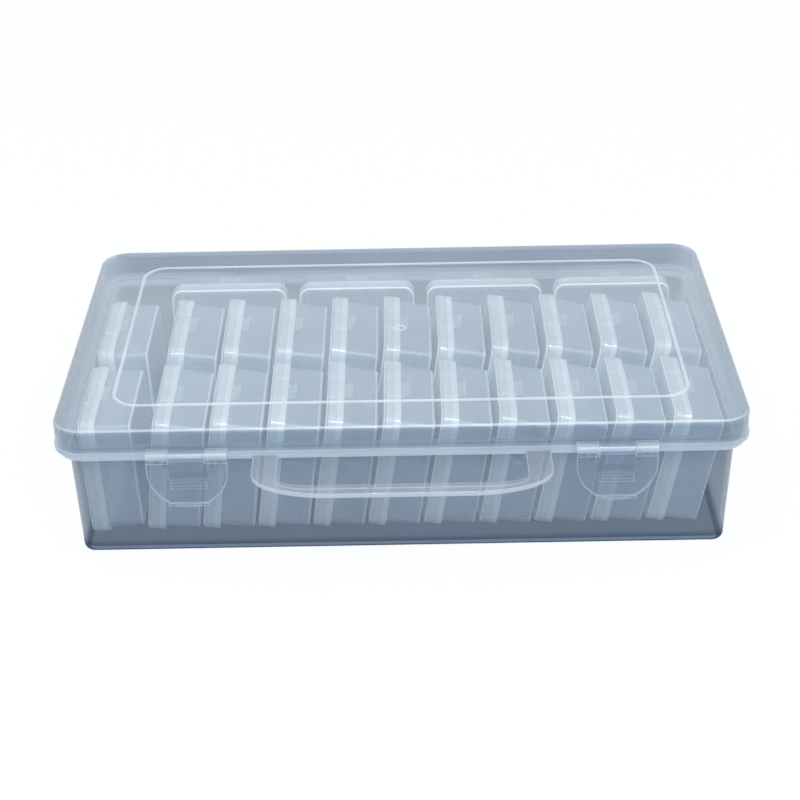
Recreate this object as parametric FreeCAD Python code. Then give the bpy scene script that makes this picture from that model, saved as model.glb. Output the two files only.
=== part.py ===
import FreeCAD, Part
import math
import os

# Craft storage organizer: a clear hinged carry case that holds small flip-lid boxes in three rows.
# Millimetres, +Z up, origin at the centre of the case's flat underside. The front, with the handle, is at -Y.

# Counts of small boxes
row_count = 11
back_count = 4

# Small box: a tray 53 mm square with a flip lid, standing on its hinge edge
small_side = 53.0
small_thickness = 21.5
small_wall = 1.0
small_panel = 1.1
small_lid_depth = 7.2
small_lid_corner = 5.0
small_lid_edge_round = 1.4
small_tray_edge_round = 1.2
small_draft_deg = 2.0
small_fit_gap = 0.5
small_seat_gap = 0.3

# Small box hinge: a barrel on the tray and two knuckles with stub pins on the lid
small_knuckle_radius = 1.0
small_knuckle_width = 4.0
small_barrel_width = 14.0
small_barrel_web = 1.4
small_pin_radius = 0.45
small_pin_length = 3.0
small_hinge_gap = 0.1

# Small box clasp: a tongue on the lid over a rib on the tray, with a tick mark on each side
clasp_width = 9.0
clasp_length = 3.4
clasp_lip_height = 1.0
clasp_lip_depth = 0.8
clasp_rib_width = 8.0
clasp_rib_depth = 0.8
clasp_rib_gap = 0.15
tick_spread = 17.0
tick_width = 1.0
tick_height = 0.5

# How the small boxes stand in the case
first_lean_deg = -2.0
second_lean_deg = 6.5
last_lean_deg = 10.8
back_lean_deg = 2.0
neighbour_gap = 1.2
first_wall_gap = 1.2
last_wall_gap = 0.9
front_gap = 7.4
row_gap = 8.2
back_row_gap = 4.0
back_wall_gap = 1.3
back_side_gap = 5.6
back_end_gap = 6.3
floor_gap = 0.3
headroom = 4.0

# Case base
case_wall = 1.6
case_floor = 1.6
case_draft_deg = 1.9
case_corner = 5.0
case_bottom_round = 2.6
case_inner_round = 1.0
rim_height = 1.8
flange_thickness = 2.2
flange_width = 3.9

# Case lid
lid_overhang = 1.2
lid_wall = 1.6
lid_panel = 1.6
lid_skirt_height = 12.4
lid_corner = 12.0
lid_top_round = 1.6
lid_inner_round = 0.6
lid_lip_depth = 0.5
lid_lip_height = 1.8
lid_seat_gap = 0.1
bead_inset_x = 21.6
bead_inset_y = 18.5
bead_corner = 11.0
bead_width = 1.2
bead_height = 0.5
gate_ring_radius = 2.6
gate_ring_width = 0.6
gate_ring_height = 0.25

# Case hinge at the back: pins between ears on the base, open clips on the lid
hinge_spread = 144.0
hinge_ear_width = 6.0
hinge_clip_width = 12.0
hinge_radius = 2.6
hinge_pin_radius = 1.3
hinge_clip_mouth = 2.2
hinge_skirt_gap = 0.4
hinge_heel_reach = 6.0
hinge_stop_deg = 112.0

# Latches on the lid's front skirt
latch_spread = 170.0
latch_width = 32.0
latch_knuckle_width = 8.5
latch_radius = 1.9
latch_pin_radius = 1.0
latch_pin_length = 5.0
latch_plate = 1.4
latch_pivot_height = 1.5
latch_shoulder_drop = 2.3
latch_drop = 22.7
latch_straight = 4.0
latch_skirt_gap = 0.1
latch_grip_height = 1.2
latch_grip_depth = 0.8

# Catches under the base flange, and the latch hooks that snap past them
catch_width = 16.0
catch_top_drop = 6.1
catch_height = 4.0
catch_reach = 1.7
catch_step_width = 22.0
catch_step_height = 1.2
catch_step_reach = 0.7
catch_ledge_width = 28.0
hook_height = 2.8
hook_width = 14.0
hook_gap = 0.4

# Carry handle, level with the base flange
handle_span = 118.0
handle_arm = 10.0
handle_bar = 7.0
handle_reach = 30.6
handle_corner_across = 32.0
handle_corner_along = 16.0
handle_inner_across = 13.7
handle_inner_along = 5.5
handle_edge_round = 0.6

# Running fits and modelling allowances
pin_clearance = 0.07
side_clearance = 0.3
overrun = 2.0
match_tolerance = 0.001

axis_x = FreeCAD.Vector(1, 0, 0)
axis_y = FreeCAD.Vector(0, 1, 0)
axis_z = FreeCAD.Vector(0, 0, 1)
case_slope = math.tan(math.radians(case_draft_deg))
small_slope = math.tan(math.radians(small_draft_deg))
back_lean = math.radians(back_lean_deg)

# Small box in its own frame: x from the lid's face into the tray, z up from the lid's lower edge
tray_mouth = small_panel + small_seat_gap
tray_inset = small_wall + small_fit_gap
tray_far_inset = tray_inset + (small_thickness - tray_mouth) * small_slope
small_hinge_x = small_lid_depth + small_knuckle_radius + side_clearance
small_hinge_z = tray_inset - small_hinge_gap - small_knuckle_radius
clasp_end = small_lid_depth + clasp_length


def turned(x, z, angle):
    """A point of the small box's side view after the box leans by the angle."""
    across = x * math.cos(angle) + z * math.sin(angle)
    height = z * math.cos(angle) - x * math.sin(angle)
    return across, height


def lowest_point(angle):
    """The height of a leaning small box's lowest point, on its lid, its hinge or its far edge."""
    lid_edge = min(0, turned(small_lid_depth, 0, angle)[1])
    barrel = turned(small_hinge_x, small_hinge_z, angle)[1] - small_knuckle_radius
    far_edge = turned(small_thickness, tray_far_inset, angle)[1]
    return min(lid_edge, barrel, far_edge)


def highest_point(angle):
    """The height of a leaning small box's highest point, on its lid or its clasp lip."""
    lid_edge = turned(0, small_side, angle)[1]
    lip_edge = turned(clasp_end - clasp_lip_depth, small_side + clasp_lip_height, angle)[1]
    return max(lid_edge, lip_edge)


def row_leans():
    """The lean of each box in a side-on row: the first to the left, the others ever more to the right."""
    step = (last_lean_deg - second_lean_deg) / (row_count - 2)
    degrees = [first_lean_deg] + [second_lean_deg + number * step for number in range(row_count - 1)]
    return [math.radians(angle) for angle in degrees]


def row_offsets():
    """How far each box of a side-on row stands from the first, at the height of the lids' lower edges."""
    leans = row_leans()
    offsets = [0]
    for angle, following in zip(leans, leans[1:]):
        step = small_thickness / math.cos(angle) + neighbour_gap / math.cos(following)
        offsets.append(offsets[-1] + step)
    return offsets


# Rows across the case: the first box leans on the left wall, the last one near the right wall
last_lean = row_leans()[-1]
far_top_across, far_top_height = turned(small_thickness, small_side - tray_far_inset, last_lean)
wall_spread_at_top = (far_top_height - lowest_point(last_lean)) * case_slope
row_length = row_offsets()[-1] + far_top_across
side_rows_width = first_wall_gap + row_length + last_wall_gap - wall_spread_at_top

# The back row, across the case, with a gap at each end; the longer of the rows sets the width
back_pitch = small_side + back_side_gap
back_row_width = (back_count - 1) * back_pitch + small_side + 2 * back_end_gap
inner_half_width = max(side_rows_width, back_row_width) / 2

# Rows from front to back: two rows side on, then one row facing the front
back_top_across, back_top_height = turned(small_thickness, small_side - tray_far_inset, back_lean)
back_spread_at_top = (back_top_height - lowest_point(back_lean)) * case_slope
back_depth = back_top_across + back_wall_gap - back_spread_at_top
inner_half_depth = (front_gap + small_side + row_gap + small_side + back_row_gap + back_depth) / 2
front_row_y = front_gap + small_side / 2 - inner_half_depth
middle_row_y = front_row_y + small_side + row_gap
back_row_y = middle_row_y + small_side / 2 + back_row_gap

# Heights of the case
box_leans = row_leans() + [back_lean]
tallest_box = max(highest_point(angle) - lowest_point(angle) for angle in box_leans)
seat_height = case_floor + floor_gap
lid_inside = seat_height + tallest_box + headroom
case_height = lid_inside + lid_panel
parting = case_height - lid_skirt_height
rim_top = parting + rim_height

# Outlines of the case, from the inside out
base_half_width = inner_half_width + case_wall
base_half_depth = inner_half_depth + case_wall
flange_half_width = base_half_width + parting * case_slope + flange_width
flange_half_depth = base_half_depth + parting * case_slope + flange_width
lid_half_width = flange_half_width + lid_overhang
lid_half_depth = flange_half_depth + lid_overhang
lip_half_depth = lid_half_depth + lid_lip_depth

# Axes of the case hinge and the latches
hinge_y = lip_half_depth + hinge_skirt_gap + hinge_radius
hinge_z = parting
latch_y = -(lip_half_depth + latch_skirt_gap + latch_radius)
latch_z = parting + latch_pivot_height
catch_top = parting - catch_top_drop
catch_bottom = catch_top - catch_height
catch_face = -(flange_half_depth + catch_reach)


def rounded_outline(centre, across, along, half_across, half_along, radius):
    """A closed rectangle with round corners in the plane of two directions."""
    edges = []
    last = None
    first = None
    for turn, (side_a, side_b) in enumerate(((1, 1), (-1, 1), (-1, -1), (1, -1))):
        out_a = across * side_a
        out_b = along * side_b
        middle = centre + out_a * (half_across - radius) + out_b * (half_along - radius)
        ends = [middle + out_a * radius, middle + out_b * radius]
        if turn % 2:
            ends.reverse()
        crest = middle + (out_a + out_b) * (radius / math.sqrt(2))
        if last:
            edges.append(Part.LineSegment(last, ends[0]).toShape())
        first = first or ends[0]
        edges.append(Part.Arc(ends[0], crest, ends[1]).toShape())
        last = ends[1]
    edges.append(Part.LineSegment(last, first).toShape())
    return Part.Wire(edges)


def plan_outline(half_width, half_depth, radius, height):
    """A rounded rectangle seen from above, at a height."""
    centre = FreeCAD.Vector(0, 0, height)
    return rounded_outline(centre, axis_x, axis_y, half_width, half_depth, radius)


def plan_block(half_width, half_depth, radius, low, high):
    """An upright block with a rounded rectangle as its plan."""
    face = Part.Face(plan_outline(half_width, half_depth, radius, low))
    return face.extrude(axis_z * (high - low))


def small_outline(inset, radius, x):
    """A rounded square in the small box's side, drawn in from the lid's outline."""
    half = small_side / 2
    centre = FreeCAD.Vector(x, 0, half)
    return rounded_outline(centre, axis_y, axis_z, half - inset, half - inset, radius)


def box_between(x_low, x_high, y_low, y_high, z_low, z_high):
    """A plain block between three pairs of limits."""
    corner = FreeCAD.Vector(x_low, y_low, z_low)
    return Part.makeBox(x_high - x_low, y_high - y_low, z_high - z_low, corner)


def rod_along_x(x_low, x_high, y, z, radius):
    """A round rod that runs across the case."""
    return Part.makeCylinder(radius, x_high - x_low, FreeCAD.Vector(x_low, y, z), axis_x)


def rod_along_y(y_low, y_high, x, z, radius):
    """A round rod that runs from front to back."""
    return Part.makeCylinder(radius, y_high - y_low, FreeCAD.Vector(x, y_low, z), axis_y)


def round_flat_edges(solid, level, radius, direction):
    """Rounds the edges that lie in one plane square to a direction."""
    chosen = []
    for edge in solid.Edges:
        places = [vertex.Point.dot(direction) for vertex in edge.Vertexes]
        if all(abs(place - level) < match_tolerance for place in places):
            chosen.append(edge)
    return solid.makeFillet(radius, chosen)


def small_tray():
    """The deep half of a small box, with the catch rib on top and the hinge barrel below."""
    mouth_corner = small_lid_corner - tray_inset
    far_corner = mouth_corner - (tray_far_inset - tray_inset)
    outside = Part.makeLoft([
        small_outline(tray_inset, mouth_corner, tray_mouth),
        small_outline(tray_far_inset, far_corner, small_thickness),
    ], True, True)
    outside = round_flat_edges(outside, small_thickness, small_tray_edge_round, axis_x)
    deep_inset = tray_far_inset - small_panel * small_slope + small_wall
    inside_mouth = tray_mouth - overrun
    inside_floor = small_thickness - small_panel
    mouth_inset = tray_inset - overrun * small_slope + small_wall
    inside = Part.makeLoft([
        small_outline(mouth_inset, mouth_corner + tray_inset - mouth_inset, inside_mouth),
        small_outline(deep_inset, far_corner + tray_far_inset - deep_inset, inside_floor),
    ], True, True)
    half_barrel = small_barrel_width / 2
    barrel = rod_along_y(-half_barrel, half_barrel, small_hinge_x, small_hinge_z, small_knuckle_radius)
    half_web = small_barrel_web / 2
    web = box_between(
        small_hinge_x - half_web, small_hinge_x + half_web,
        -half_barrel, half_barrel,
        small_hinge_z, tray_inset + small_wall)
    half_rib = clasp_rib_width / 2
    rib_start = small_lid_depth + clasp_rib_depth
    rib = box_between(
        rib_start, rib_start + clasp_rib_depth,
        -half_rib, half_rib,
        small_side - tray_far_inset - small_wall, small_side - small_wall - clasp_rib_gap)
    bore = rod_along_y(
        -half_barrel - overrun, half_barrel + overrun,
        small_hinge_x, small_hinge_z, small_pin_radius + pin_clearance)
    return outside.fuse([barrel, web, rib]).cut([inside, bore]).removeSplitter()


def small_lid():
    """The flip lid of a small box, with its clasp tongue, tick marks, knuckles and stub pins."""
    outside = Part.Face(small_outline(0, small_lid_corner, 0)).extrude(axis_x * small_lid_depth)
    outside = round_flat_edges(outside, 0, small_lid_edge_round, axis_x)
    pocket_corner = small_lid_corner - small_wall
    pocket = Part.Face(small_outline(small_wall, pocket_corner, small_panel))
    pocket = pocket.extrude(axis_x * small_lid_depth)
    shell = outside.cut(pocket)
    half_clasp = clasp_width / 2
    tongue_start = small_lid_depth - small_wall
    tongue = box_between(
        tongue_start, clasp_end, -half_clasp, half_clasp, small_side - small_wall, small_side)
    lip = box_between(
        clasp_end - clasp_lip_depth, clasp_end,
        -half_clasp, half_clasp,
        small_side - small_wall, small_side + clasp_lip_height)
    pieces = [tongue, lip]
    for side in (-1, 1):
        tick_y = side * tick_spread / 2
        pieces.append(box_between(
            small_lid_edge_round, small_lid_depth,
            tick_y - tick_width / 2, tick_y + tick_width / 2,
            small_side - small_wall, small_side + tick_height))
        inner_end = small_barrel_width / 2 + side_clearance
        outer_end = inner_end + small_knuckle_width
        knuckle_low, knuckle_high = sorted((side * inner_end, side * outer_end))
        pieces.append(rod_along_y(
            knuckle_low, knuckle_high, small_hinge_x, small_hinge_z, small_knuckle_radius))
        pieces.append(box_between(
            tongue_start, small_hinge_x, knuckle_low, knuckle_high, 0, small_wall))
        pin_low, pin_high = sorted((side * (inner_end - small_pin_length), side * outer_end))
        pieces.append(rod_along_y(pin_low, pin_high, small_hinge_x, small_hinge_z, small_pin_radius))
    return shell.fuse(pieces).removeSplitter()


def quarter_ellipse(centre, arm_a, arm_b):
    """The quarter of an ellipse between the ends of its two arms."""
    short_arm, long_arm = sorted((arm_a, arm_b), key=lambda arm: arm.Length)
    curve = Part.Ellipse(centre + long_arm, centre + short_arm, centre)
    return Part.ArcOfEllipse(curve, 0, math.pi / 2).toShape()


def handle_outline(half_span, far_y, root_y, corner_across, corner_along, height):
    """A flat tongue seen from above, square at its root and with elliptical outer corners."""
    side_end = far_y + corner_along
    bar_half = half_span - corner_across
    outer_arm = axis_y * -corner_along
    corners = [
        FreeCAD.Vector(-half_span, side_end, height),
        FreeCAD.Vector(-half_span, root_y, height),
        FreeCAD.Vector(half_span, root_y, height),
        FreeCAD.Vector(half_span, side_end, height),
    ]
    edges = [Part.LineSegment(start, end).toShape() for start, end in zip(corners, corners[1:])]
    edges.append(Part.LineSegment(
        FreeCAD.Vector(bar_half, far_y, height), FreeCAD.Vector(-bar_half, far_y, height)).toShape())
    for side in (-1, 1):
        centre = FreeCAD.Vector(side * bar_half, side_end, height)
        edges.append(quarter_ellipse(centre, axis_x * (side * corner_across), outer_arm))
    return Part.Wire(Part.__sortEdges__(edges))


def carry_handle():
    """The flat loop that stands out level with the flange, moulded in one piece with the base."""
    low = parting - flange_thickness
    root = -(flange_half_depth - flange_width)
    far = -(flange_half_depth + handle_reach)
    loop = Part.Face(handle_outline(
        handle_span / 2, far, root, handle_corner_across, handle_corner_along, low))
    loop = loop.extrude(axis_z * flange_thickness)
    gap = Part.Face(handle_outline(
        handle_span / 2 - handle_arm, far + handle_bar, -flange_half_depth,
        handle_inner_across, handle_inner_along, low - overrun))
    gap = gap.extrude(axis_z * (flange_thickness + 2 * overrun))
    loop = loop.cut(gap)
    for level in (low, parting):
        loop = round_flat_edges(loop, level, handle_edge_round, axis_z)
    return loop


def catches():
    """The stepped catch blocks under the flange, one behind each latch."""
    blocks = []
    wall = -inner_half_depth
    low_edge = parting - flange_thickness
    ledge_low = catch_top + catch_step_height
    for side in (-1, 1):
        x = side * latch_spread / 2
        for width, reach, low, high in (
                (catch_ledge_width, 0, ledge_low, low_edge),
                (catch_step_width, catch_step_reach, catch_top, low_edge),
                (catch_width, catch_reach, catch_bottom, low_edge)):
            front = -(flange_half_depth + reach)
            blocks.append(box_between(x - width / 2, x + width / 2, front, wall, low, high))
    return blocks


def hinge_ears():
    """The ears, heels and pins of the case hinge, which belong to the base."""
    pieces = []
    stop = math.radians(hinge_stop_deg)
    plane = hinge_y - lip_half_depth - side_clearance
    heel_inner = plane / math.sin(stop)
    heel_outer = (plane + hinge_heel_reach * math.cos(stop)) / math.sin(stop)
    for hinge_side in (-1, 1):
        centre = hinge_side * hinge_spread / 2
        for ear_side in (-1, 1):
            inner = centre + ear_side * (hinge_clip_width / 2 + side_clearance)
            outer = inner + ear_side * hinge_ear_width
            low, high = sorted((inner, outer))
            pieces.append(rod_along_x(low, high, hinge_y, hinge_z, hinge_radius))
            pieces.append(box_between(
                low, high, flange_half_depth - flange_width / 2, hinge_y,
                parting - hinge_radius, parting - side_clearance))
            corners = [
                FreeCAD.Vector(low, hinge_y, hinge_z - hinge_radius),
                FreeCAD.Vector(low, hinge_y + hinge_heel_reach, hinge_z - hinge_radius),
                FreeCAD.Vector(low, hinge_y + hinge_heel_reach, hinge_z + heel_outer),
                FreeCAD.Vector(low, hinge_y, hinge_z + heel_inner),
            ]
            heel = Part.Face(Part.makePolygon(corners + corners[:1]))
            pieces.append(heel.extrude(axis_x * (high - low)))
        half = hinge_clip_width / 2 + side_clearance + hinge_ear_width / 2
        pieces.append(rod_along_x(centre - half, centre + half, hinge_y, hinge_z, hinge_pin_radius))
    return pieces


def case_base():
    """The deep half of the case: floor, drafted walls, rim, flange, handle, catches and hinge pins."""
    spread = rim_top * case_slope
    outside = Part.makeLoft([
        plan_outline(base_half_width, base_half_depth, case_corner, 0),
        plan_outline(base_half_width + spread, base_half_depth + spread, case_corner + spread, rim_top),
    ], True, True)
    outside = round_flat_edges(outside, 0, case_bottom_round, axis_z)
    inner_corner = case_corner - case_wall
    inside_top = rim_top + overrun
    rise = (inside_top - case_floor) * case_slope
    inside = Part.makeLoft([
        plan_outline(inner_half_width, inner_half_depth, inner_corner, case_floor),
        plan_outline(inner_half_width + rise, inner_half_depth + rise, inner_corner + rise, inside_top),
    ], True, True)
    inside = round_flat_edges(inside, case_floor, case_inner_round, axis_z)
    flange = plan_block(
        flange_half_width, flange_half_depth, lid_corner - lid_overhang, parting - flange_thickness, parting)
    pieces = [flange, carry_handle()] + catches() + hinge_ears()
    return outside.fuse(pieces).cut(inside).removeSplitter()


def lid_hinge_clips():
    """The open clips at the back of the lid, which snap over the base's pins."""
    clips = []
    for side in (-1, 1):
        low = side * hinge_spread / 2 - hinge_clip_width / 2
        high = low + hinge_clip_width
        clip = rod_along_x(low, high, hinge_y, hinge_z, hinge_radius)
        web = box_between(
            low, high, lid_half_depth - lid_wall / 2, hinge_y,
            parting + lid_seat_gap, hinge_z + hinge_radius)
        bore = rod_along_x(low - overrun, high + overrun, hinge_y, hinge_z, hinge_pin_radius + pin_clearance)
        mouth = box_between(
            low - overrun, high + overrun, hinge_y, hinge_y + hinge_radius + overrun,
            hinge_z - hinge_clip_mouth / 2, hinge_z + hinge_clip_mouth / 2)
        clips.append(clip.fuse(web).cut([bore, mouth]))
    return clips


def lid_latch_knuckles():
    """The two bored knuckles on the lid's front skirt that carry each latch."""
    knuckles = []
    for latch_side in (-1, 1):
        for end_side in (-1, 1):
            outer = latch_side * latch_spread / 2 + end_side * latch_width / 2
            low, high = sorted((outer, outer - end_side * latch_knuckle_width))
            knuckle = rod_along_x(low, high, latch_y, latch_z, latch_radius)
            web = box_between(
                low, high, latch_y, -(lid_half_depth - lid_wall / 2),
                parting + lid_seat_gap, latch_z + latch_radius)
            bore = rod_along_x(
                low - overrun, high + overrun, latch_y, latch_z, latch_pin_radius + pin_clearance)
            knuckles.append(knuckle.fuse(web).cut(bore))
    return knuckles


def lid_gate_mark():
    """The small raised ring that the moulding gate leaves in the middle of the lid."""
    foot = FreeCAD.Vector(0, 0, lid_inside)
    height = lid_panel + gate_ring_height
    ring = Part.makeCylinder(gate_ring_radius, height, foot, axis_z)
    return ring.cut(Part.makeCylinder(gate_ring_radius - gate_ring_width, height, foot, axis_z))


def case_lid():
    """The shallow lid: top panel with a bead and a gate mark, skirt with a lip, hinge clips and knuckles."""
    low = parting + lid_seat_gap
    outside = plan_block(lid_half_width, lid_half_depth, lid_corner, low, case_height)
    outside = round_flat_edges(outside, case_height, lid_top_round, axis_z)
    lip = plan_block(
        lid_half_width + lid_lip_depth, lip_half_depth, lid_corner + lid_lip_depth,
        low, low + lid_lip_height)
    inside = plan_block(
        lid_half_width - lid_wall, lid_half_depth - lid_wall, lid_corner - lid_wall,
        low - overrun, lid_inside)
    inside = round_flat_edges(inside, lid_inside, lid_inner_round, axis_z)
    bead_half_width = lid_half_width - bead_inset_x
    bead_half_depth = lid_half_depth - bead_inset_y
    bead = plan_block(bead_half_width, bead_half_depth, bead_corner, lid_inside, case_height + bead_height)
    bead_middle = plan_block(
        bead_half_width - bead_width, bead_half_depth - bead_width, bead_corner - bead_width,
        lid_inside - overrun, case_height + bead_height + overrun)
    shell = outside.fuse(lip).cut(inside)
    details = [bead.cut(bead_middle), lid_gate_mark()] + lid_hinge_clips() + lid_latch_knuckles()
    return shell.fuse(details).removeSplitter()


def latch(side):
    """A D-shaped latch plate on a barrel with stub pins, with a hook that sits just below the catch."""
    x = side * latch_spread / 2
    half = latch_width / 2
    plate_front = latch_y - latch_radius
    plate_back = plate_front + latch_plate
    shoulder = latch_z - latch_shoulder_drop
    side_end = shoulder - latch_straight
    tip = latch_z - latch_drop
    corners = [
        FreeCAD.Vector(x + half, plate_front, side_end),
        FreeCAD.Vector(x + half, plate_front, shoulder),
        FreeCAD.Vector(x - half, plate_front, shoulder),
        FreeCAD.Vector(x - half, plate_front, side_end),
    ]
    edges = [Part.LineSegment(start, end).toShape() for start, end in zip(corners, corners[1:])]
    centre = FreeCAD.Vector(x, plate_front, side_end)
    for end_side in (-1, 1):
        edges.append(quarter_ellipse(centre, axis_x * (end_side * half), axis_z * (tip - side_end)))
    plate = Part.Face(Part.Wire(Part.__sortEdges__(edges))).extrude(axis_y * latch_plate)
    half_barrel = half - latch_knuckle_width - side_clearance
    barrel = rod_along_x(x - half_barrel, x + half_barrel, latch_y, latch_z, latch_radius)
    pin_half = half_barrel + side_clearance + latch_pin_length
    pin = rod_along_x(x - pin_half, x + pin_half, latch_y, latch_z, latch_pin_radius)
    neck = box_between(x - half_barrel, x + half_barrel, plate_front, plate_back, side_end, latch_z)
    hook_top = catch_bottom - hook_gap
    hook = box_between(
        x - hook_width / 2, x + hook_width / 2,
        plate_front, catch_face - hook_gap,
        hook_top - hook_height, hook_top)
    grip_low = tip + latch_grip_height
    half_grip = catch_width / 2
    grip = box_between(
        x - half_grip, x + half_grip,
        plate_front - latch_grip_depth, plate_back,
        grip_low, grip_low + latch_grip_height)
    return plate.fuse([barrel, pin, neck, hook, grip]).removeSplitter()


def side_row_places(row_y):
    """The placements of the boxes in a row that shows its lids to the left."""
    places = []
    for angle, offset in zip(row_leans(), row_offsets()):
        x = first_wall_gap - inner_half_width + offset
        z = seat_height - lowest_point(angle)
        rotation = FreeCAD.Rotation(axis_y, math.degrees(angle))
        places.append(FreeCAD.Placement(FreeCAD.Vector(x, row_y, z), rotation))
    return places


def back_row_places():
    """The placements of the boxes in the back row, which shows its lids to the front."""
    places = []
    last_x = inner_half_width - back_end_gap - small_side / 2
    facing = FreeCAD.Rotation(axis_z, 90).multiply(FreeCAD.Rotation(axis_y, back_lean_deg))
    z = seat_height - lowest_point(back_lean)
    for number in range(back_count):
        x = last_x - (back_count - 1 - number) * back_pitch
        places.append(FreeCAD.Placement(FreeCAD.Vector(x, back_row_y, z), facing))
    return places


def box_places():
    """Every small box's row name, number and placement."""
    rows = (
        ("front", side_row_places(front_row_y)),
        ("middle", side_row_places(middle_row_y)),
        ("back", back_row_places()),
    )
    return [(row, number, place) for row, places in rows for number, place in enumerate(places, 1)]


def placed(shape, place):
    """A copy of a shape, moved to its place."""
    copy = shape.copy()
    copy.Placement = place
    return copy


def main():
    os.makedirs("parts", exist_ok=True)
    nodes = {
        "case_base": case_base(),
        "case_lid": case_lid(),
        "latch_left": latch(-1),
        "latch_right": latch(1),
    }
    tray = small_tray()
    lid = small_lid()
    for row, number, place in box_places():
        nodes[f"{row}_tray_{number:02d}"] = placed(tray, place)
        nodes[f"{row}_lid_{number:02d}"] = placed(lid, place)
    for name, shape in nodes.items():
        shape.exportStep(f"parts/{name}.step")
    print(f"{len(nodes)} nodes, case {2 * lid_half_width:.1f} x {2 * lid_half_depth:.1f} x {case_height:.1f} mm")


if __name__ == "__main__":
    main()
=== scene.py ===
import math

import bpy
from mathutils import Matrix, Vector


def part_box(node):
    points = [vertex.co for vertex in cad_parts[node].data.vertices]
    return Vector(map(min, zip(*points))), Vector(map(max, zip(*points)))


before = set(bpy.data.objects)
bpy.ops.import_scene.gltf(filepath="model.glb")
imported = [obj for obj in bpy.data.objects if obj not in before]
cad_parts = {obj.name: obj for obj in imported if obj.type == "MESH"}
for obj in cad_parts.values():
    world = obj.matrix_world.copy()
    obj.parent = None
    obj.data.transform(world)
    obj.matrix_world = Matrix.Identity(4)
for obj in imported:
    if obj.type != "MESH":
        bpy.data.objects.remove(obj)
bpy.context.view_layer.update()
MM = 0.001


# Case base
# The deep half of the carry case, with the handle, the catches and the hinge pins in the same moulding.
# Injection-moulded clear polypropylene, blue-grey in its walls. The deeper tint in its floor, its lowest
# walls and just under the flange is painted shade, and the pale lines along its edges are painted
# highlights.
# A band is a place in millimetres, the tint that the plastic lets through there, and how milky it is.
BASE_BANDS = (
    (0.0, "#B6C4D3", 0.02),
    (0.2, "#8FA1B5", 0.0),
    (1.5, "#8FA1B5", 0.0),
    (1.6, "#B6C4D3", 0.02),
    (1.7, "#BCC8D5", 0.01),
    (3.0, "#BCC8D5", 0.01),
    (5.5, "#E6E9EC", 0.03),
    (36.0, "#E6E9EC", 0.03),
    (46.9, "#D8DEE4", 0.03),
    (47.3, "#ECF0F4", 0.11),
    (52.0, "#ECF0F4", 0.11),
)
BASE_MILK = "#E9F0F6"
BASE_LINES_ABOVE_MM = 10.0
# Painted highlight: the upright outer sides of the flange and the handle between these heights are made
# milky.
FLANGE_MM = (47.4, 49.8)
FLANGE_HIGHLIGHT_SHARE = 0.46

# What all the clear polypropylene of this case shares
HAZE_MM = 38.0
HAZE_DETAIL = 2.0
HAZE_RANGE = (0.3, 0.7)
HAZE_SWING = 0.15
RIPPLE_MM = 14.0
RIPPLE_DETAIL = 1.0
RIPPLE_DEPTH_MM = 0.6
RIPPLE_STRENGTH = 0.06
GLANCE_POWER = 5.0
FACE_MIRROR = 0.04
GLANCE_SHARE = 0.8
EDGE_LOOK_MM = 0.6
EDGE_SAMPLES = 4
SHARP_LIKENESS = (0.99, 0.8)
ROUND_SLANT = (0.3, 0.55)
UPRIGHT_TILT = (0.7, 0.3)
FLOOR_FADE_MM = 0.1
LUMP_FADE_MM = 0.6
LUMP_SHADED_FOOT_SHARE = 0.1
DEEP_FADE_MM = 0.5
BACK_SCATTER = 0.3


def linear(hex_colour):
    """An sRGB hex colour as linear red, green, blue and full alpha."""
    channels = [int(hex_colour[start:start + 2], 16) / 255 for start in (1, 3, 5)]
    return [c / 12.92 if c <= 0.04045 else ((c + 0.055) / 1.055) ** 2.4 for c in channels] + [1.0]


def add_node(tree, kind, settings):
    """Adds a node. A setting that is a socket is linked to an input; others are values or properties."""
    node = tree.nodes.new(kind)
    for key, value in settings.items():
        if isinstance(value, bpy.types.NodeSocket):
            tree.links.new(value, node.inputs[key])
        elif isinstance(key, int) or key in node.inputs:
            node.inputs[key].default_value = value
        else:
            setattr(node, key, value)
    return node


def math_of(tree, operation, *values, clamp=False):
    """The result of one arithmetic step on sockets and numbers."""
    settings = {"operation": operation, "use_clamp": clamp}
    settings.update(enumerate(values))
    return add_node(tree, "ShaderNodeMath", settings).outputs[0]


def dot_of(tree, first, second):
    """The dot product of two vector sockets."""
    settings = {"operation": "DOT_PRODUCT", 0: first, 1: second}
    return add_node(tree, "ShaderNodeVectorMath", settings).outputs["Value"]


def ranged(tree, value, source, target=(0.0, 1.0)):
    """A value carried from one range to another, and held within it."""
    names = ("Value", "From Min", "From Max", "To Min", "To Max")
    settings = dict(zip(names, (value, *source, *target)))
    return add_node(tree, "ShaderNodeMapRange", settings).outputs[0]


def mixed(tree, share, first, second):
    """Two shaders mixed, with a share of the second."""
    return add_node(tree, "ShaderNodeMixShader", {0: share, 1: first, 2: second}).outputs[0]


def noise(tree, place, size_mm, detail):
    """A noise with features of a real size in millimetres."""
    settings = {"Vector": place, "Scale": 1 / (size_mm * MM), "Detail": detail}
    return add_node(tree, "ShaderNodeTexNoise", settings).outputs["Fac"]


def own_value(tree, name):
    """The outputs of a node that reads one of the object's own values."""
    settings = {"attribute_type": "OBJECT", "attribute_name": name}
    return add_node(tree, "ShaderNodeAttribute", settings).outputs


def band_ramp(tree, level, bands):
    """The tint and the milkiness of the bands, at a height or a depth in metres."""
    top = max(bands[-1][0], 1.0)
    ramp = add_node(tree, "ShaderNodeValToRGB", {"Fac": ranged(tree, level, (0.0, top * MM))})
    stops = ramp.color_ramp.elements
    while len(stops) < len(bands):
        stops.new(1.0)
    for stop, (place_mm, tint, share) in zip(stops, bands):
        stop.position = place_mm / top
        stop.color = linear(tint)[:3] + [share]
    return ramp.outputs


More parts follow.
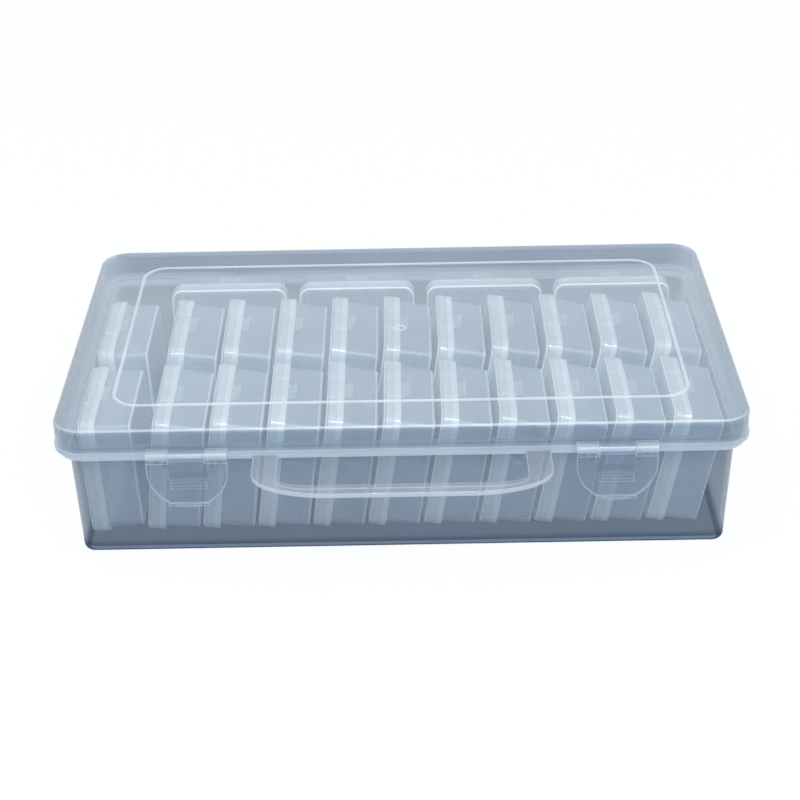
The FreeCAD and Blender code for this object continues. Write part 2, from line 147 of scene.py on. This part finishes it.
def clear_polypropylene(
        name, bands, milk, edge_share, sharp_share, roughness, face_axis, by_depth=False,
        lines_above_mm=0.0, rim=None, lumps=None, deep=None):
    """Moulded clear polypropylene, which lets tinted light through and is milky at its edges as painted
    highlights.
    The bands lie at heights, or at depths behind the face that the object's own values inward and
    face_at describe. The rounded edges of the faces square to face_axis are made milky as painted
    highlights, and so are sharp edges, but only above lines_above_mm. A rim is two heights, and the share of
    milkiness painted as a highlight on upright outer sides between them. Lumps are a reach to the front or
    the back, the height above which what stands out further is milky, and its share: painted light above,
    painted shade at the foot. Deep is a place at the back and the darker tint added behind it, painted
    shade."""
    material = bpy.data.materials.new(name)
    material.use_nodes = True
    tree = material.node_tree
    tree.nodes.clear()
    place = add_node(tree, "ShaderNodeTexCoord", {}).outputs["Object"]
    along = add_node(tree, "ShaderNodeSeparateXYZ", {0: place}).outputs
    geometry = add_node(tree, "ShaderNodeNewGeometry", {}).outputs
    flat = geometry["Normal"]
    to_own = {"vector_type": "NORMAL", "convert_from": "WORLD", "convert_to": "OBJECT", 0: flat}
    own_normal = add_node(tree, "ShaderNodeVectorTransform", to_own).outputs[0]
    sides = add_node(tree, "ShaderNodeSeparateXYZ", {0: own_normal}).outputs
    level = along["Z"]
    if by_depth:
        inward_place = dot_of(tree, place, own_value(tree, "inward")["Vector"])
        level = math_of(tree, "SUBTRACT", inward_place, own_value(tree, "face_at")["Fac"])
    zones = band_ramp(tree, level, bands)

    # What is mirrored and what is milky, both more so at a glance, and less so near the floor as painted
    # shade
    facing = add_node(tree, "ShaderNodeLayerWeight", {"Blend": 0.5}).outputs["Facing"]
    glance = math_of(tree, "POWER", facing, GLANCE_POWER)
    floor_zone = (lines_above_mm / 2 * MM, (lines_above_mm + FLOOR_FADE_MM) * MM)
    glance_share = ranged(tree, along["Z"], floor_zone, (FACE_MIRROR, GLANCE_SHARE))
    mirror = ranged(tree, glance, (0.0, 1.0), (FACE_MIRROR, glance_share))
    milkiness = ranged(tree, glance, (0.0, 1.0), (zones["Alpha"], glance_share))
    haze = noise(tree, place, HAZE_MM, HAZE_DETAIL)
    cloud = ranged(tree, haze, HAZE_RANGE, (1 - HAZE_SWING, 1 + HAZE_SWING))
    clouded = math_of(tree, "MULTIPLY", milkiness, cloud)

    # Painted highlights: pale lines along sharp and rounded edges
    edge_look = {"samples": EDGE_SAMPLES, "Radius": EDGE_LOOK_MM * MM}
    softened = add_node(tree, "ShaderNodeBevel", edge_look).outputs[0]
    sharp_edge = ranged(tree, dot_of(tree, softened, flat), SHARP_LIKENESS, (0.0, sharp_share))
    turn = math_of(tree, "ARCCOSINE", sides[face_axis])
    slant = math_of(tree, "PINGPONG", turn, math.pi / 4)
    round_edge = ranged(tree, slant, ROUND_SLANT, (0.0, edge_share))
    lines = math_of(tree, "MAXIMUM", sharp_edge, round_edge)
    above = math_of(tree, "GREATER_THAN", along["Z"], lines_above_mm * MM)
    veil = math_of(tree, "MAXIMUM", clouded, math_of(tree, "MULTIPLY", lines, above), clamp=True)
    # Painted highlight: the upright outer sides between the rim's heights are made milky.
    if rim:
        (rim_low, rim_high), rim_highlight_share = rim
        middle = (rim_low + rim_high) / 2
        within = math_of(tree, "COMPARE", along["Z"], middle * MM, (rim_high - middle) * MM)
        tilt = math_of(tree, "ABSOLUTE", sides["Z"])
        upright_side = ranged(tree, tilt, UPRIGHT_TILT, (0.0, rim_highlight_share))
        outward = math_of(tree, "GREATER_THAN", dot_of(tree, own_normal, place), 0.0)
        from_outside = math_of(tree, "SUBTRACT", 1.0, geometry["Backfacing"])
        outer_side = math_of(tree, "MULTIPLY", outward, from_outside)
        band = math_of(tree, "MULTIPLY", within, upright_side)
        veil = math_of(tree, "MAXIMUM", veil, math_of(tree, "MULTIPLY", band, outer_side))
    # Painted light and shade: lumps are milky above a height and clearer at their foot.
    if lumps:
        reach_mm, above_mm, lump_share = lumps
        rise = ((above_mm - LUMP_FADE_MM) * MM, above_mm * MM)
        upper = ranged(tree, along["Z"], rise, (LUMP_SHADED_FOOT_SHARE, lump_share))
        reach = math_of(tree, "ABSOLUTE", along["Y"])
        beyond = (reach_mm * MM, (reach_mm + LUMP_FADE_MM) * MM)
        veil = math_of(tree, "MAXIMUM", veil, ranged(tree, reach, beyond, (0.0, upper)))

    # Light through the sheet, scattered in it and mirrored on it; a lamp's light is only tinted
    tint = zones["Color"]
    # Painted shade: a darker tint behind a place at the back.
    if deep:
        behind_mm, back_shade_tint = deep
        behind = ranged(tree, along["Y"], (behind_mm * MM, (behind_mm + DEEP_FADE_MM) * MM))
        deepen = {"data_type": "RGBA", "blend_type": "MULTIPLY", 0: behind, 6: tint, 7: linear(back_shade_tint)}
        tint = add_node(tree, "ShaderNodeMix", deepen).outputs[2]
    through = add_node(tree, "ShaderNodeBsdfTransparent", {"Color": tint}).outputs[0]
    front = add_node(tree, "ShaderNodeBsdfDiffuse", {"Color": linear(milk)}).outputs[0]
    back = add_node(tree, "ShaderNodeBsdfTranslucent", {"Color": linear(milk)}).outputs[0]
    sheet = mixed(tree, veil, through, mixed(tree, BACK_SCATTER, front, back))
    ripple = noise(tree, place, RIPPLE_MM, RIPPLE_DETAIL)
    unevenness = {"Strength": RIPPLE_STRENGTH, "Distance": RIPPLE_DEPTH_MM * MM, "Height": ripple}
    uneven = add_node(tree, "ShaderNodeBump", unevenness).outputs["Normal"]
    polish = {"Roughness": roughness, "Normal": uneven}
    gloss = add_node(tree, "ShaderNodeBsdfGlossy", polish).outputs[0]
    surface = mixed(tree, mirror, sheet, gloss)
    lamp_ray = add_node(tree, "ShaderNodeLightPath", {}).outputs["Is Shadow Ray"]
    lamp_light = add_node(tree, "ShaderNodeBsdfTransparent", {"Color": zones["Color"]}).outputs[0]
    shown = mixed(tree, lamp_ray, surface, lamp_light)
    add_node(tree, "ShaderNodeOutputMaterial", {"Surface": shown})
    return material


def finish_node(name, material):
    """Gives a CAD node its finish."""
    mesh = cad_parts[name].data
    mesh.materials.clear()
    mesh.materials.append(material)


base_plastic = clear_polypropylene(
    "clear_polypropylene_base", BASE_BANDS, BASE_MILK, edge_share=0.4, sharp_share=0.6, roughness=0.10,
    face_axis="Z", lines_above_mm=BASE_LINES_ABOVE_MM, rim=(FLANGE_MM, FLANGE_HIGHLIGHT_SHARE))
finish_node("case_base", base_plastic)


# Small boxes
# Square trays with flip lids, moulded thin in clear polypropylene and packed on edge in three rows.
# The lids' skirts are milkier and read as pale stripes, a painted sheen, with painted highlights at their
# ends;
# the trays' far edges carry painted highlights as pale lines.
# Their bands lie at depths behind the lid's flat face.
BOX_MM = 21.5
TRAY_TINT = "#F4F6F8"
TRAY_MILK = "#E3ECF5"
TRAY_SHARE = 0.24
TRAY_EDGE_HIGHLIGHT_SHARE = 1.0
TRAY_EDGE_MM = 1.0
TRAY_FADE_MM = 0.05
# The band at a tray's far edge is a painted highlight, a pale line.
TRAY_DEPTHS = (
    (0.0, TRAY_SHARE),
    (BOX_MM - TRAY_EDGE_MM - TRAY_FADE_MM, TRAY_SHARE),
    (BOX_MM - TRAY_EDGE_MM, TRAY_EDGE_HIGHLIGHT_SHARE),
    (BOX_MM - 2 * TRAY_FADE_MM, TRAY_EDGE_HIGHLIGHT_SHARE),
    (BOX_MM - TRAY_FADE_MM, TRAY_SHARE),
    (BOX_MM + 0.5, TRAY_SHARE),
)
TRAY_BANDS = [(depth, TRAY_TINT, share) for depth, share in TRAY_DEPTHS]
SMALL_LID_TINT = "#F9FBFC"
SMALL_LID_MILK = "#F4F8FA"
PANEL_MM = 1.0
SKIRT_MM = 7.2
SKIRT_END_MM = 2.6
SKIRT_FADE_MM = 0.4
CLASP_MM = 12.0
CLASP_FADE_MM = 0.3
CLASP_SHARE = 0.1
# Shares for panel, skirt (painted sheen) and skirt's end (painted highlight), for side-on and face-on rows.
SIDE_ON_SHARES = (0.22, 0.36, 0.54)
FACE_ON_SHARES = (0.07, 0.30, 0.46)
SAME_WAY = 0.9


def small_lid_bands(panel_share, skirt_sheen_share, end_highlight_share):
    """The milkiness behind a small lid's face: its panel, its skirt as painted sheen, the skirt's end as
    painted highlight and the thin clasp.
    """
    depths = (
        (0.0, panel_share),
        (PANEL_MM, panel_share),
        (PANEL_MM + SKIRT_FADE_MM, skirt_sheen_share),
        (SKIRT_MM - SKIRT_END_MM, skirt_sheen_share),
        (SKIRT_MM - SKIRT_END_MM + SKIRT_FADE_MM, end_highlight_share),
        (SKIRT_MM, end_highlight_share),
        (SKIRT_MM + CLASP_FADE_MM, CLASP_SHARE),
        (CLASP_MM, CLASP_SHARE),
    )
    return [(depth, SMALL_LID_TINT, share) for depth, share in depths]


def face_of(lid, inward_axis):
    """Which way a small lid's flat face looks into its box, and where along that way it lies."""
    faces = [face for face in lid.data.polygons if face.normal.dot(inward_axis) < -SAME_WAY]
    inward = -sum((face.normal * face.area for face in faces), Vector()).normalized()
    return inward, min(inward.dot(vertex.co) for vertex in lid.data.vertices)


for rows, face_axis, inward_axis, shares in (
        (("front", "middle"), "X", Vector((1, 0, 0)), SIDE_ON_SHARES),
        (("back",), "Y", Vector((0, 1, 0)), FACE_ON_SHARES)):
    tray_plastic = clear_polypropylene(
        "clear_polypropylene_tray_" + rows[0], TRAY_BANDS, TRAY_MILK, edge_share=0.9, sharp_share=0.9,
        roughness=0.35, face_axis=face_axis, by_depth=True)
    small_lid_plastic = clear_polypropylene(
        "clear_polypropylene_small_lid_" + rows[0], small_lid_bands(*shares), SMALL_LID_MILK,
        edge_share=1.0, sharp_share=0.5, roughness=0.08, face_axis=face_axis, by_depth=True)
    for lid_name in [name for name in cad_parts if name.split("_lid_")[0] in rows]:
        inward, face_at = face_of(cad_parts[lid_name], inward_axis)
        tray_name = lid_name.replace("_lid_", "_tray_")
        for name, plastic in ((lid_name, small_lid_plastic), (tray_name, tray_plastic)):
            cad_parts[name]["inward"] = inward
            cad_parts[name]["face_at"] = face_at
            finish_node(name, plastic)


# Case lid
# The shallow lid that closes over the boxes, hooked on the base's pins at the back, with a bead on top.
# The same clear polypropylene: a thin clear top, a deeper tint in its skirt, a pale lip and solid, milky
# latch knuckles. The pale lip and the milky bead are painted highlights, the knuckles' milky tops and
# clearer feet are painted light and shade, and the darker tint at the back is painted shade.
lid_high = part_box("case_lid")[1]
latch_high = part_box("latch_left")[1]
BEAD_HEIGHT_MM = 0.5
LID_TOP_MM = lid_high.z / MM - BEAD_HEIGHT_MM
LID_MILK = "#EDF2F7"
SKIRT_TINT = "#DCE3E9"
TOP_TINT = "#F8FAFB"
LIP_HIGHLIGHT_SHARE = 0.26
SKIRT_SHARE = 0.06
TOP_SHARE = 0.02
BEAD_HIGHLIGHT_SHARE = 0.58
LID_BANDS = (
    (0.0, SKIRT_TINT, LIP_HIGHLIGHT_SHARE),
    (LID_TOP_MM - 10.6, SKIRT_TINT, LIP_HIGHLIGHT_SHARE),
    (LID_TOP_MM - 10.3, SKIRT_TINT, SKIRT_SHARE),
    (LID_TOP_MM - 2.2, SKIRT_TINT, SKIRT_SHARE),
    (LID_TOP_MM - 1.8, TOP_TINT, TOP_SHARE),
    (LID_TOP_MM + 0.05, TOP_TINT, TOP_SHARE),
    (LID_TOP_MM + 0.15, TOP_TINT, BEAD_HIGHLIGHT_SHARE),
    (LID_TOP_MM + BEAD_HEIGHT_MM, TOP_TINT, BEAD_HIGHLIGHT_SHARE),
)
# Painted shade: a darker tint at the lid's back, behind LID_BACK_MM.
LID_LIP_MM = 83.4
LID_BACK_MM = 80.5
LID_BACK_SHADE_TINT = "#D8E2EA"
# The knuckles are milky only above KNUCKLE_DROP_MM below the latches' top: painted light, with painted shade
# at their feet.
KNUCKLE_DROP_MM = 2.4
KNUCKLE_LIT_ABOVE_MM = latch_high.z / MM - KNUCKLE_DROP_MM
KNUCKLE_SHARE = 0.38
lid_plastic = clear_polypropylene(
    "clear_polypropylene_lid", LID_BANDS, LID_MILK, edge_share=0.28, sharp_share=0.6, roughness=0.30,
    face_axis="Z", lumps=(LID_LIP_MM, KNUCKLE_LIT_ABOVE_MM, KNUCKLE_SHARE), deep=(LID_BACK_MM, LID_BACK_SHADE_TINT))
finish_node("case_lid", lid_plastic)


# Latches
# Two D-shaped plates snapped on the lid's knuckles.
# Clear polypropylene again, with pale outlines that are painted highlights.
LATCH_TINT = "#E0E8F0"
LATCH_MILK = "#F2F6FA"
LATCH_SHARE = 0.07
LATCH_BANDS = ((0.0, LATCH_TINT, LATCH_SHARE), (1.0, LATCH_TINT, LATCH_SHARE))
latch_plastic = clear_polypropylene(
    "clear_polypropylene_latch", LATCH_BANDS, LATCH_MILK, edge_share=0.40, sharp_share=0.7,
    roughness=0.12, face_axis="Z")
for name in ("latch_left", "latch_right"):
    finish_node(name, latch_plastic)


# Studio
# A plain floor that is white where it is looked at directly and greyer through the case. Soft light comes
# from all round, with a lamp above, a lamp in front that gloss doesn't mirror, and a strip that only glints.
FLOOR_SIDE = 6.0
FLOOR_COLOUR = "#B4BFCA"
WHITE_COLOUR = "#FFFFFF"
WHITE_SHARE = 0.85
WHITE_STRENGTH = 1.08
AIR_COLOUR = "#F6F8FA"
AIR_LIGHT = 0.8
edge = FLOOR_SIDE / 2
corners = [(-edge, -edge, 0), (edge, -edge, 0), (edge, edge, 0), (-edge, edge, 0)]
floor_mesh = bpy.data.meshes.new("studio_floor")
floor_mesh.from_pydata(corners, [], [(0, 1, 2, 3)])
floor = bpy.data.objects.new("studio_floor", floor_mesh)
bpy.context.scene.collection.objects.link(floor)


def seen_directly(tree, share):
    """A share for what the camera or a reflection looks at directly, and none for the light itself."""
    path = add_node(tree, "ShaderNodeLightPath", {}).outputs
    bare = math_of(tree, "LESS_THAN", path["Transparent Depth"], 0.5)
    rays = math_of(tree, "MULTIPLY", path["Is Camera Ray"], bare)
    for kind in ("Is Glossy Ray", "Is Transmission Ray"):
        rays = math_of(tree, "ADD", rays, path[kind], clamp=True)
    return math_of(tree, "MULTIPLY", rays, share)


floor_paper = bpy.data.materials.new("matt_white_paper")
floor_paper.use_nodes = True
paper_tree = floor_paper.node_tree
paper_tree.nodes.clear()
paper = add_node(paper_tree, "ShaderNodeBsdfDiffuse", {"Color": linear(FLOOR_COLOUR)}).outputs[0]
glow = {"Color": linear(WHITE_COLOUR), "Strength": WHITE_STRENGTH}
white = add_node(paper_tree, "ShaderNodeEmission", glow).outputs[0]
shown_paper = mixed(paper_tree, seen_directly(paper_tree, WHITE_SHARE), paper, white)
add_node(paper_tree, "ShaderNodeOutputMaterial", {"Surface": shown_paper})
floor_paper.cycles.emission_sampling = "NONE"
floor_mesh.materials.append(floor_paper)

world = bpy.data.worlds.new("studio_air")
bpy.context.scene.world = world
world.use_nodes = True
air_tree = world.node_tree
air = air_tree.nodes["Background"].inputs
air["Color"].default_value = linear(AIR_COLOUR)
air_seen = seen_directly(air_tree, WHITE_STRENGTH - AIR_LIGHT)
air_tree.links.new(math_of(air_tree, "ADD", air_seen, AIR_LIGHT), air["Strength"])


def soft_lamp(name, place, aim, width, depth, power, mirrored=True, lights=True):
    """A rectangular softbox that points at a spot. Gloss may not mirror it, or it may only glint."""
    data = bpy.data.lights.new(name, "AREA")
    data.shape = "RECTANGLE"
    data.size = width
    data.size_y = depth
    data.energy = power
    lamp = bpy.data.objects.new(name, data)
    lamp.location = place
    lamp.rotation_euler = (Vector(aim) - Vector(place)).to_track_quat("-Z", "Y").to_euler()
    lamp.visible_glossy = mirrored
    lamp.visible_diffuse = lights
    bpy.context.scene.collection.objects.link(lamp)


soft_lamp("lamp_above", (-0.25, -0.1, 1.4), (0, 0, 0), width=1.2, depth=0.9, power=4)
soft_lamp("lamp_front", (0.15, -1.55, 1.1), (0, 0, 0.03), width=1.4, depth=0.9, power=20, mirrored=False)
soft_lamp("lamp_glint", (0.2, -0.65, 1.15), (0, 0, 0.03), width=1.0, depth=0.1, power=13, lights=False)

scene = bpy.context.scene
scene.view_settings.view_transform = "Standard"
scene.cycles.max_bounces = 24
scene.cycles.transparent_max_bounces = 96

# Camera at the photograph's viewpoint, with the frame taken as 800 x 800
SENSOR_MM = 36.0
FRAME_PIXELS = 800
FOCAL_PIXELS = 1820
VIEW_PLACE_MM = (1.85, -696.64, 424.69)
VIEW_DOWN_DEG = 29.756
VIEW_YAW_DEG = -0.202
VIEW_ROLL_DEG = -1.109
down, yaw, roll = (math.radians(angle) for angle in (VIEW_DOWN_DEG, VIEW_YAW_DEG, VIEW_ROLL_DEG))
ahead = Vector((math.sin(yaw) * math.cos(down), math.cos(yaw) * math.cos(down), -math.sin(down)))
sideways = Vector((math.cos(yaw), -math.sin(yaw), 0))
upright = sideways.cross(ahead)
across = math.cos(roll) * sideways + math.sin(roll) * upright
upward = math.cos(roll) * upright - math.sin(roll) * sideways
camera_data = bpy.data.cameras.new("photo_camera")
camera_data.sensor_width = SENSOR_MM
camera_data.lens = SENSOR_MM * FOCAL_PIXELS / FRAME_PIXELS
camera = bpy.data.objects.new("photo_camera", camera_data)
turned = Matrix((across, upward, -ahead)).transposed().to_4x4()
camera.matrix_world = Matrix.Translation(Vector(VIEW_PLACE_MM) * MM) @ turned
scene.collection.objects.link(camera)
scene.camera = camera

bpy.context.view_layer.update()
